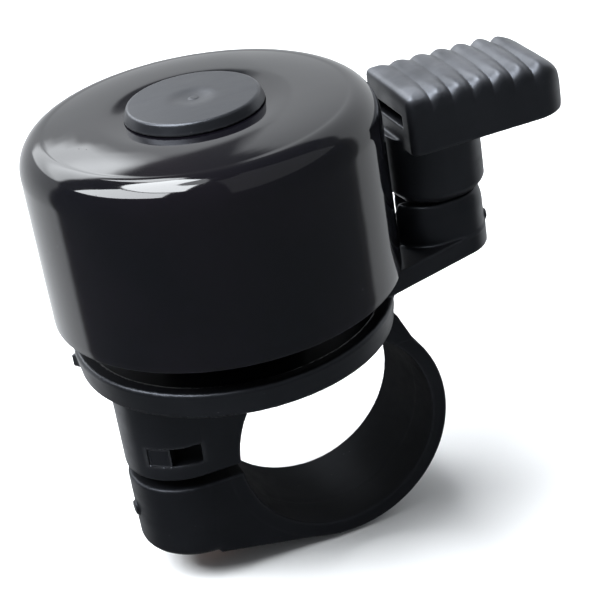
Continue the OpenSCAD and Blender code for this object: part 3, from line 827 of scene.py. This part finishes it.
def base():
    """Tray, lug, lever post, saddle and upper boss in one moulding."""
    bead_block = block((BEAD_X - 1.8, 0.3 - BOSS_R, BASE_Z + 0.1),
                       (BEAD_X + 1.8, BOSS_R - 0.3, RIM_Z - 0.2), 0.15)
    solid = join(tray(), bead_block, ribs, lug(), centre_post(), saddle(), k=0.35)
    solid = join(solid, lever_post(), mould_marks(), k=0.25)
    solid = cut(solid, arm_window(), rod_z(PIVOT_X, CHAMBER_R, POCKET_Z, FAR),
                rod_z(PIVOT_X, SHAFT_FOOT_R + 0.05, 0, FAR), rod_z(GONG_X, 1.5, POST_Z - 10.5, FAR),
                rod_z(CLAMP_X, SCREW_HOLE, -1, UPPER_BOSS_Z + 7),
                facing(nut_slot, CLAMP_X, NUT_SLOT_ANGLE), strap_socket(), k=0.12)
    moulded("base_moulding", solid, 0.22, body="base", replaces=["base_plate"], **BASE_PLASTIC)


def nut_stake():
    """Plastic pressed over one side of the slot to keep the nut in, with a raised welt round it."""
    z0, z1 = NUT_SLOT_Z
    v0, v1 = -NUT_SLOT_HALF + 0.05, -0.35
    welt = 0.22

    def tab(u, v, z):
        face = hypot(u, v) - BOSS_R + 0.12
        sides = maximum(slab(v, v0, v1), slab(z, z0 - 0.05, z1 + 0.05))
        raised = clip((sides + welt) / 0.12, 0, 1) * 0.08
        return smooth_max(smooth_max(face - raised, sides, 0.08), 4.4 - u, 0.1)

    lo, hi = (CLAMP_X - BOSS_R, -BOSS_R, z0 - 0.2), (CLAMP_X + BOSS_R, BOSS_R, z1 + 0.2)
    moulded("nut_stake", facing(tab, CLAMP_X, NUT_SLOT_ANGLE), 0.08, (lo, hi), feel=0.15,
            body="base", **BASE_PLASTIC)


# ---- strap ----


def strap_band():
    """The band round the bar, running straight into the lower screw boss."""
    half, tilt = STRAP_W / 2, radians(7)
    foot = (-STRAP_R * sin(tilt), -STRAP_R * cos(tilt))
    ring = rod_y(0, 0, STRAP_R, -half, half, 0.3)
    side = [(0, BOSS_GAP_Z), (CLAMP_X, BOSS_GAP_Z), (CLAMP_X, BOSS_FOOT), foot, (0, -10)]
    arm = extrude_y(side, -half, half, 0.3)
    edge = 1.2
    profile = [(0, BOSS_FOOT), (BOSS_R - edge, BOSS_FOOT)]
    profile += arc(BOSS_R - edge, BOSS_FOOT + edge, edge, edge, -90, 0, 6)
    profile += arc(BOSS_R - 0.45, BOSS_GAP_Z - 0.45, 0.45, 0.45, 0, 90, 5) + [(0, BOSS_GAP_Z)]
    top = BASE_Z - 0.2
    root = extrude_y([(SPLIT_X + 0.2, 8), (SPLIT_X + 0.2, top), (8.5, top), (10, 8)], -half, half, 0.25)
    outer_x = CLAMP_X - BOSS_R - 0.3
    nib = lambda x, y, z: rounded(hypot(y, z + 5) - 0.8, slab(x, outer_x, CLAMP_X), 0.2)
    return join(ring, arm, turned(CLAMP_X, profile), root, nib, k=0.2)


def strap_bore(x, y, z):
    """The bore, with the shallow step that the mould's parting line leaves in it."""
    step = 0.05 / (1 + np.exp(clip((y + 2.1) / 0.06, -50, 50)))
    return hypot(x, z) - BAR_R - 0.02 + step


def over_the_bar(x, y, z):
    """The quarter over the bar, which belongs to the base, and all above the strap's root."""
    quarter = maximum(BOSS_GAP_Z - z, x - SPLIT_X - 0.2)
    return minimum(quarter, BASE_Z - 0.2 - z)


def strap():
    """The strap, with the slotted screw hole that lets it swing."""
    band = cut(strap_band(), over_the_bar, strap_bore, k=0.25)
    bead = join(rod_y(BEAD_X, BEAD_Z, 1.1, -BEAD_HALF, BEAD_HALF, 0.15),
                block((BEAD_X - 0.65, -BEAD_HALF, BASE_Z - 1), (BEAD_X + 0.65, BEAD_HALF, BEAD_Z), 0.1),
                k=0.1)
    swing = 1.3
    slot = join(rod_z(CLAMP_X, SCREW_HOLE, -FAR, FAR),
                rod_z(CLAMP_X - swing, SCREW_HOLE, -FAR, FAR),
                block((CLAMP_X - swing, -SCREW_HOLE, -FAR), (CLAMP_X, SCREW_HOLE, FAR), 0.01), k=0.01)
    recess = rod_z(CLAMP_X, HEAD_HOLE, -FAR, BOSS_FOOT, 0.05)
    moulded("strap_band", cut(join(band, bead, k=0.1), slot, recess, k=0.12), 0.22,
            body="strap", replaces=["clamp_strap"], **STRAP_PLASTIC)


# ---- thumb lever ----

PAD_X0, PAD_X1 = PIVOT_X - 4.8, LEVER_HI[0] + 0.25
PAD_HALF = (LEVER_HI[1] - LEVER_LO[1]) / 2
PAD_Z = 27.8
PAD_TOP = LEVER_HI[2]
PAD_DROP = 1.0  # fall of the pad's top towards its tip
HUB_R = 4.8
NOTCH_R = 3.95
HUB_L = 0.8  # how far the hub is drawn out towards the gong
RIDGES = 7
RIDGE_PITCH = 2.35
RIDGE_H = 0.5
FIRST_RIDGE = PAD_X0 + 1.5
LAST_RIDGE = FIRST_RIDGE + (RIDGES - 1) * RIDGE_PITCH
TIP_R = 5.0


def pad_crest(x, y):
    """Height of the ridges' crests: falling to the tip, and a little higher on the far side."""
    along = (x - PAD_X0) / (PAD_X1 - PAD_X0)
    return PAD_TOP - PAD_DROP * along ** 2 + 0.065 * (y + PAD_HALF) * (1 - 0.6 * along)


def ridges(x, y):
    """How far the pad's top lies under its crests: grooves that deepen towards the sides."""
    n = clip(np.round((x - FIRST_RIDGE) / RIDGE_PITCH), 0, RIDGES - 1)
    off = np.abs(x - FIRST_RIDGE - n * RIDGE_PITCH)
    off = np.where((x < FIRST_RIDGE) | (x > LAST_RIDGE), 0, off)
    side = clip((np.abs(y) - PAD_HALF + 4) / 4, 0, 1)
    t = clip(off / (RIDGE_PITCH / 2), 0, 1)
    groove = 0.45 * t ** 2 + 0.275 * (1 - np.cos(pi * t))
    return RIDGE_H * (1.05 + 0.85 * side) * groove + 0.15 * (y / PAD_HALF) ** 2


def pad():
    """The pad, with rounded ridges across it: tight corners at the gong, a full round tip."""
    middle, half = (PAD_X0 + PAD_X1) / 2, (PAD_X1 - PAD_X0) / 2
    gong_corner, tip_corner, foot_r = 0.9, 4.2, 1.4

    def field(x, y, z):
        corner = np.where(x > middle, tip_corner, gong_corner)
        qx, qy = np.abs(x - middle) - half + corner, np.abs(y) - PAD_HALF + corner
        plan = hypot(maximum(qx, 0), maximum(qy, 0)) + minimum(maximum(qx, qy), 0) - corner
        top = (z - pad_crest(x, y) + ridges(x, y)) * 0.85
        tip = hypot(maximum(x - PAD_X1 + TIP_R, 0), maximum(z - PAD_TOP + TIP_R + 0.3, 0)) - TIP_R
        foot = hypot(maximum(x - PAD_X1 + foot_r, 0), maximum(PAD_Z + foot_r - z, 0)) - foot_r
        body = smooth_max(smooth_max(plan, top, 1.7), tip, 0.6)
        return smooth_max(smooth_max(body, foot, 0.3), PAD_Z - z, 0.3)
    return field


def lever_hub():
    """The round hub under the pad, necked where it meets the post."""
    neck_z, neck_h = HUB_Z + 0.15, 1.2

    def field(x, y, z):
        flare = clip((z - neck_z) / neck_h, 0, 1)
        along = clip(x, PIVOT_X - HUB_L, PIVOT_X)
        wall = hypot(x - along, y) - NOTCH_R - (HUB_R - NOTCH_R) * np.sin(flare * pi / 2)
        return rounded(wall * 0.85, slab(z, HUB_Z + 0.05, PAD_Z + 1), 0.12)
    return field


def thumb_wear_and_highlight(points, normals):
    """Where the thumb rubs the lever, with a painted highlight: the pad's upward-facing top, most of all its
    corners by the gong.
    """
    x, y, z = points.T
    top = clip((z - pad_crest(x, y) + 1.5) / 1.0, 0, 1) * clip(normals[:, 2] * 2.5 - 0.6, 0, 1)
    corner = hypot(x - PAD_X0 - 0.8, np.abs(y) - PAD_HALF + 0.8)
    return top * 0.7 + 1.3 * top * clip(1 - corner / 3.0, 0, 1)


def lever():
    """Pad, hub and shaft in one moulding, with a slot at the gong's end and a core under the pad."""
    slot = block((PAD_X0 - 1, -3.4, PAD_Z + 2.7), (PAD_X0 + 1.9, 3.0, PAD_Z + 4.0), 0.1)
    core_x = PIVOT_X + HUB_R + 1
    core = block((core_x, 1.7 - PAD_HALF, PAD_Z - 1), (core_x + 5.6, PAD_HALF - 1.7, PAD_Z + 2.8), 0.3)
    head = cut(join(pad(), lever_hub(), k=0.35), slot, core, k=0.25)
    shaft = join(rod_z(PIVOT_X, CHAMBER_R - 0.05, HUB_Z - 1.1, HUB_Z + 0.5, 0.1),
                 rod_z(PIVOT_X, SHAFT_R, RIM_Z + 0.8, HUB_Z + 1, 0.1),
                 rod_z(PIVOT_X, SHAFT_FOOT_R, LEVER_LO[2], HUB_Z, 0.1), k=0.05)
    shaft = cut(shaft, rod_z(PIVOT_X, 0.83, 0, LEVER_LO[2] + 5.5), k=0.05)
    # The pad's top is lightened by thumb wear and a painted highlight.
    moulded("lever_moulding", join(head, shaft, k=0.05), 0.17, (LEVER_LO, LEVER_HI + 0.8),
            wear_and_highlight=thumb_wear_and_highlight, body="lever", replaces=["thumb_lever"], **LEVER_PLASTIC)


# ---- striker ----


def arm_pin(l, z, r, y0, y1, edge=0.1):
    """A pin across the arm, at a distance l along it."""
    return along_arm(rod_y(l, z, r, y0, y1, edge))


LEAF_Y = (-1.3, -1.02)
PIN_Z = sum(ARM_Z) / 2
PINS = (7.3, 9.5)


def arm():
    """The striker arm, pressed onto the lever's shaft."""
    hub = rod_z(PIVOT_X, 2.9, RIM_Z + 0.9, RIM_Z + 3.3, 0.15)
    bar = along_arm(block((1, -1, ARM_Z[0]), (10.5, 1, ARM_Z[1]), 0.18))
    solid = cut(join(hub, bar, k=0.4), rod_z(PIVOT_X, SHAFT_R + 0.02, 0, FAR), k=0.08)
    moulded("striker_arm_bar", solid, 0.12, feel=0.2,
            body="lever", replaces=["striker_arm"], **ZINC)


def arm_rivets():
    """The two rivets that hold the leaf to the arm."""
    heads = [arm_pin(l, PIN_Z, 0.66, y, y + 0.36, 0.16) for l in PINS for y in (1.02, -1.67)]
    shanks = [arm_pin(l, PIN_Z, 0.45, -1.6, 1.3) for l in PINS]
    moulded("leaf_rivets", join(*heads, *shanks, k=0.03), 0.08, feel=0.15,
            body="lever", replaces=["arm_rivets"], **ZINC)


def leaf():
    """The sprung leaf, between the arm and the striker."""
    top, tip = STRIKER_Z + 1.6, STRIKER_L + 1.7
    shape = extrude_y([(6.2, ARM_Z[0]), (12.1, ARM_Z[0]), (tip, STRIKER_Z - 1.6), (tip, top),
                       (STRIKER_L - 1.7, top), (STRIKER_L - 2.2, STRIKER_Z - 1), (11.3, ARM_Z[1]),
                       (6.2, ARM_Z[1])], *LEAF_Y, 0.06)
    piece = moulded("sprung_leaf", along_arm(shape), 0.12, feel=0.12,
                    replaces=["striker_leaf"], **SPRING)
    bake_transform(piece)


def striker():
    """A turned slug with a domed face towards the gong, and the rivet that holds it."""
    slug = rod_y(STRIKER_L, STRIKER_Z, STRIKER_R, -0.98, 2.72, 0.5)
    dome = lambda x, y, z: np.sqrt((x - STRIKER_L) ** 2 + (y + 2.78) ** 2 + (z - STRIKER_Z) ** 2) - 5.5
    moulded("striker_slug", along_arm(common(slug, dome, k=0.2)), 0.12, feel=0.2,
            body="striker", replaces=["striker_head"], **ZINC)
    shank = rod_y(STRIKER_L, STRIKER_Z, 0.8, -1.5, 0.6, 0.1)
    head = rod_y(STRIKER_L, STRIKER_Z, 1.3, -1.92, -1.33, 0.28)
    moulded("slug_rivet", along_arm(join(shank, head, k=0.05)), 0.08, feel=0.15,
            body="striker", replaces=["striker_rivet"], **ZINC)


def spring():
    """The torsion spring round the lever's shaft."""
    lo = box_mm("lever_spring")[0]
    turns, r, wire_r, pitch = 3.25, 2.5, 0.2, 0.45
    start = radians(30)
    z = lo[2] + wire_r
    path = []
    for i in range(int(turns * 40) + 1):
        t = i / 40
        angle = start + 2 * pi * t
        path.append((PIVOT_X + r * cos(angle), r * sin(angle), z + t * pitch))
    wire("torsion_spring", path, wire_r, body="base", replaces=["lever_spring"], **SPRING)


# ---- screws, washers, nut ----


def washer(node, hole, edge, name, **place):
    """A punched ring that fills its node's box: one edge rolled over, the other crisp."""
    lo, hi = box_mm(node)
    cx, r = (lo[0] + hi[0]) / 2, (hi[0] - lo[0]) / 2
    points = [(hole, lo[2]), (r - 0.04, lo[2]), (r, lo[2] + 0.04)]
    points += arc(r - edge, hi[2] - edge, edge, edge, 0, 90, 5)
    points += arc(hole + edge, hi[2] - edge, edge, edge, 90, 180, 5)
    lathed(name, points, cx, steps=96, replaces=[node], **place)


def gong_seat():
    """A soft seat with a spigot that centres the gong."""
    spigot = HOLE_R - 0.02
    points = [(1.6, POST_Z), (SEAT_R - 0.15, POST_Z), (SEAT_R, POST_Z + 0.15), (SEAT_R, POST_Z + 0.6)]
    points += [(SEAT_R - 0.2, POST_Z + 0.8), (spigot, POST_Z + 0.8), (spigot, SEAT_HI[2] - 0.15)]
    points += [(spigot - 0.15, SEAT_HI[2]), (1.75, SEAT_HI[2]), (1.6, SEAT_HI[2] - 0.15)]
    lathed("rubber_seat", points, GONG_X, steps=96, body="base", replaces=["gong_seat"], **RUBBER)


def screw(node, name, shank_r, pitch, head_r, head_h, up, recess, step=0.1, **place):
    """A pan-head screw with a cross recess, filling its node's box, its head up (1) or down (-1)."""
    lo, hi = box_mm(node)
    cx = (lo[0] + hi[0]) / 2
    face, tip = (hi[2], lo[2]) if up > 0 else (lo[2], hi[2])
    seat = face - up * head_h
    shank = sorted((tip, seat + 0.1 * up))
    point = lambda x, y, z: (hypot(x - cx, y) - shank_r + 0.5 + (0.5 - np.abs(z - tip))) * 0.7
    body = common(thread(cx, shank_r, pitch, *shank), point, k=0.05)
    head = pan_head(cx, head_r, seat, head_h, up)
    head = cut(head, cross_recess(cx, face, recess, recess * 0.65, up), k=0.1)
    moulded(name, join(body, head, k=0.05), step, feel=0.2, replaces=[node], **place)


def nut():
    """A square nut pressed from plate, chamfered on top, with a tapped hole."""
    af, h = 5.5, NUT_HI[2] - NUT_LO[2]
    flat = block((-af / 2, -af / 2, NUT_LO[2]), (af / 2, af / 2, NUT_HI[2]), 0.12)
    cone = lambda u, v, z: (hypot(u, v) - af / 2 - 0.2 + (z - NUT_HI[2])) * 0.7
    solid = cut(facing(common(flat, cone, k=0.1), CLAMP_X, NUT_SLOT_ANGLE),
                thread(CLAMP_X, SCREW_R + 0.06, 0.5, NUT_LO[2] - h, NUT_HI[2] + h), k=0.05)
    moulded("square_nut", solid, 0.1, feel=0.2, body="base", replaces=["clamp_nut"], **ZINC)


def fasteners():
    """The washers, the screws and the nut."""
    washer("gong_washer", 1.55, 0.12, "plate_washer", body="base", **ZINC)
    washer("gong_isolator", 1.6, 0.2, "rubber_washer", body="base", **RUBBER)
    washer("lever_washer", 0.95, 0.12, "retaining_washer", body="lever", **ZINC)
    washer("clamp_washer", 1.55, 0.12, "head_washer", body="screw_slider", **COPPER)
    screw("gong_screw", "dome_screw", SCREW_R, 0.9, 2.9, 1.7, 1, 1.7, body="base", **ZINC)
    screw("lever_screw", "pivot_screw", 0.8, 0.4, 1.9, 0.8, -1, 1.1, step=0.07, body="lever", **ZINC)
    screw("clamp_screw", "clamping_screw", SCREW_R, 0.5, 3.0, 2.0, -1, 1.7, step=0.09,
          body="screw", **COPPER)
    nut()


# ---- stage, light, camera ----

FLOOR_DROP = 0.0004  # the floor lies just under the bell


def staged(name, mesh, material, **visible):
    """A stage object, seen only by the kinds of ray that are named."""
    obj = linked(name, mesh)
    mesh.materials.append(material)
    for kind in ("camera", "diffuse", "glossy", "transmission", "shadow"):
        setattr(obj, "visible_" + kind, visible.get(kind, False))
    return obj


def glow(name, strength, varies=False, colour=(0.94, 0.97, 1.0)):
    """A glowing material. If it varies, the mesh's own points hold how much."""
    material = bpy.data.materials.new(name)
    material.use_nodes = True
    tree = material.node_tree
    tree.nodes.clear()
    emission = tree.nodes.new("ShaderNodeEmission")
    emission.inputs["Color"].default_value = (*colour, 1)
    emission.inputs["Strength"].default_value = strength
    if varies:
        level = tree.nodes.new("ShaderNodeAttribute")
        level.attribute_name = "glow"
        tree.links.new(level.outputs["Fac"], emission.inputs["Strength"])
    out = tree.nodes.new("ShaderNodeOutputMaterial")
    tree.links.new(emission.outputs["Emission"], out.inputs["Surface"])
    return material


CAMERA_TURN, CAMERA_RISE, CAMERA_ROLL = -17.44, 27.9, -9.52
CAMERA_PLACE = Vector((-52.39, -167.5, 106.1)) * MM
CAMERA_LENS = 111.8
SKY_R = 0.8


def from_camera(azimuth, elevation):
    """A direction: azimuth 0 towards the camera and 90 to the picture's right."""
    turn = radians(CAMERA_TURN)
    front, right = Vector((sin(turn), -cos(turn), 0)), Vector((cos(turn), sin(turn), 0))
    a, e = radians(azimuth), radians(elevation)
    return (front * cos(a) + right * sin(a)) * cos(e) + Vector((0, 0, sin(e)))


def sky_patch(name, glow_at, azimuths, elevations, distance=SKY_R, **visible):
    """A patch of a sphere round the bell. Its glow, or its lower edge, may vary with direction."""
    centre = Vector((0, 0, 0.015))
    across, up = 96, 64
    low, high = elevations
    foot = low if callable(low) else lambda azimuth: low
    spots = [(a, foot(a) + (high - foot(a)) * t)
             for t in np.linspace(0, 1, up + 1) for a in np.linspace(*azimuths, across + 1)]
    row = across + 1
    faces = [(r * row + c, r * row + c + 1, (r + 1) * row + c + 1, (r + 1) * row + c)
             for r in range(up) for c in range(across)]
    mesh = bpy.data.meshes.new(name)
    mesh.from_pydata([centre + from_camera(a, e) * distance for a, e in spots], [], faces)
    if callable(glow_at):
        point_values(mesh, "glow", np.array([glow_at(a, e) for a, e in spots]))
    staged(name, mesh, glow(name, 1.0 if callable(glow_at) else glow_at, callable(glow_at)), **visible)


def soft_step(value, start, end):
    """0 at start and 1 at end, smoothly between them."""
    t = min(max((value - start) / (end - start), 0.0), 1.0)
    return t * t * (3 - 2 * t)


def within(value, lo, hi, soft):
    """1 between lo and hi, fading to 0 over a soft margin outside them."""
    return soft_step(value, lo - soft, lo) * soft_step(value, hi + soft, hi)


def wall_glow(azimuth, elevation):
    """A white wall behind the bell, with a rounded top and a brighter patch on its left."""
    side = abs(azimuth - 180)
    left = azimuth > 180
    height, sag, middle = (46, 0.016, 36) if left else (50, 0.012, 35)
    top = height - sag * (side - middle) ** 2
    wall = soft_step(side, 76, 70) * soft_step(elevation, top + 1.5, top - 1.5)
    wall *= soft_step(elevation, -37, -30)
    if left:
        level = 1.2 - 0.2 * soft_step(elevation, -10, 15)
    else:
        level = 0.85 + 0.25 * soft_step(elevation, -20, 10)
    patch_foot = 17 + 0.45 * abs(azimuth - 210)
    patch = (2.8 + 2.2 * soft_step(elevation, 28, 34)) * within(azimuth, 191, 238, 6)
    patch *= soft_step(elevation, patch_foot - 0.7, patch_foot + 0.7)
    haze = exp(-((azimuth - 181) / 13) ** 2 - ((elevation - 29) / 10) ** 2)
    room = 0.2
    return wall * (level + patch + 0.2 * haze) + room * (1 - wall)


def sill(azimuth):
    """The lower edge of the window's lower light, which slants."""
    return 33 + 0.24 * (azimuth + 95)


def floor():
    """Pale paper. It isn't seen from below, so that the bell can be looked at from there."""
    half, z = 1.5, cad_bounds[0].z - FLOOR_DROP
    mesh = bpy.data.meshes.new("floor")
    corners = [(-half, -half, z), (half, -half, z), (half, half, z), (-half, half, z)]
    mesh.from_pydata(corners, [], [(0, 1, 2, 3)])
    n = Nodes("floor_paper")
    n.set("Base Color", n.ramp(n.noise(0.02, 3), [(0.3, 0.84), (0.7, 0.88)]))
    n.set("Roughness", 0.9)
    n.set("Specular IOR Level", 0.1)
    mix = n.tree.nodes.new("ShaderNodeMixShader")
    n.link(n.tree.nodes.new("ShaderNodeNewGeometry").outputs["Backfacing"], mix.inputs["Fac"])
    n.link(n.shader.outputs["BSDF"], mix.inputs[1])
    n.link(n.tree.nodes.new("ShaderNodeBsdfTransparent").outputs["BSDF"], mix.inputs[2])
    n.link(mix.outputs["Shader"], n.tree.nodes["Material Output"].inputs["Surface"])
    staged("floor", mesh, n.material, camera=True, diffuse=True, shadow=True)


def world():
    sky = bpy.data.worlds.new("studio")
    bpy.context.scene.world = sky
    sky.use_nodes = True
    background = sky.node_tree.nodes["Background"]
    background.inputs["Color"].default_value = (0.9, 0.95, 1.0, 1)
    background.inputs["Strength"].default_value = 0.16


def lights():
    """A dim room with a white wall behind the bell and a tall two-paned window up on the left.

    A dim flag behind the ring keeps the wall out of what the band mirrors.
    """
    sky_patch("backdrop", 0.95, (0, 360), (-90, 90), distance=3.0, camera=True)
    sky_patch("wall_behind", wall_glow, (100, 258), (-44, 50), glossy=True, diffuse=True)
    for name, strength, azimuths, elevations in (
            ("window_upper", 19.0, (-165, -22), (62, 80)),
            ("window_left", 9.0, (-170, -154), (47, 61)),
            ("window_lower", 14.0, (-98, -34), (sill, 60.5)),
            ("ceiling", 3.0, (-170, -10), (80, 89)),
            ("room", 0.45, (15, 98), (30, 80))):
        sky_patch(name, strength, azimuths, elevations, distance=SKY_R - 0.01, glossy=True, diffuse=True)
    flag = bpy.data.meshes.new("flag")
    half, y, z0, z1 = 0.022, 0.009, -0.0127, 0.0113
    corners = [(-half, y, z0), (half, y, z0), (half, y, z1), (-half, y, z1)]
    flag.from_pydata(corners, [], [(0, 1, 2, 3)])
    staged("flag", flag, glow("flag", 0.06), glossy=True)


def camera():
    """The photograph's view: above the bell and to its left, with the picture rolled a little."""
    roll = radians(CAMERA_ROLL)
    back, right = from_camera(0, CAMERA_RISE), from_camera(90, 0)
    up = back.cross(right)
    across = right * cos(roll) + up * sin(roll)
    above = up * cos(roll) - right * sin(roll)
    data = bpy.data.cameras.new("camera")
    data.sensor_width = 36
    data.lens = CAMERA_LENS
    cam = linked("camera", data)
    cam.matrix_world = Matrix.Translation(CAMERA_PLACE) @ Matrix((across, above, back)).transposed().to_4x4()
    bpy.context.scene.camera = cam


for build in (gong, cap, base, nut_stake, strap, lever, arm, arm_rivets, leaf, striker, spring,
              gong_seat, fasteners, floor, world, lights, camera):
    build()
bpy.context.scene.view_settings.view_transform = "Standard"
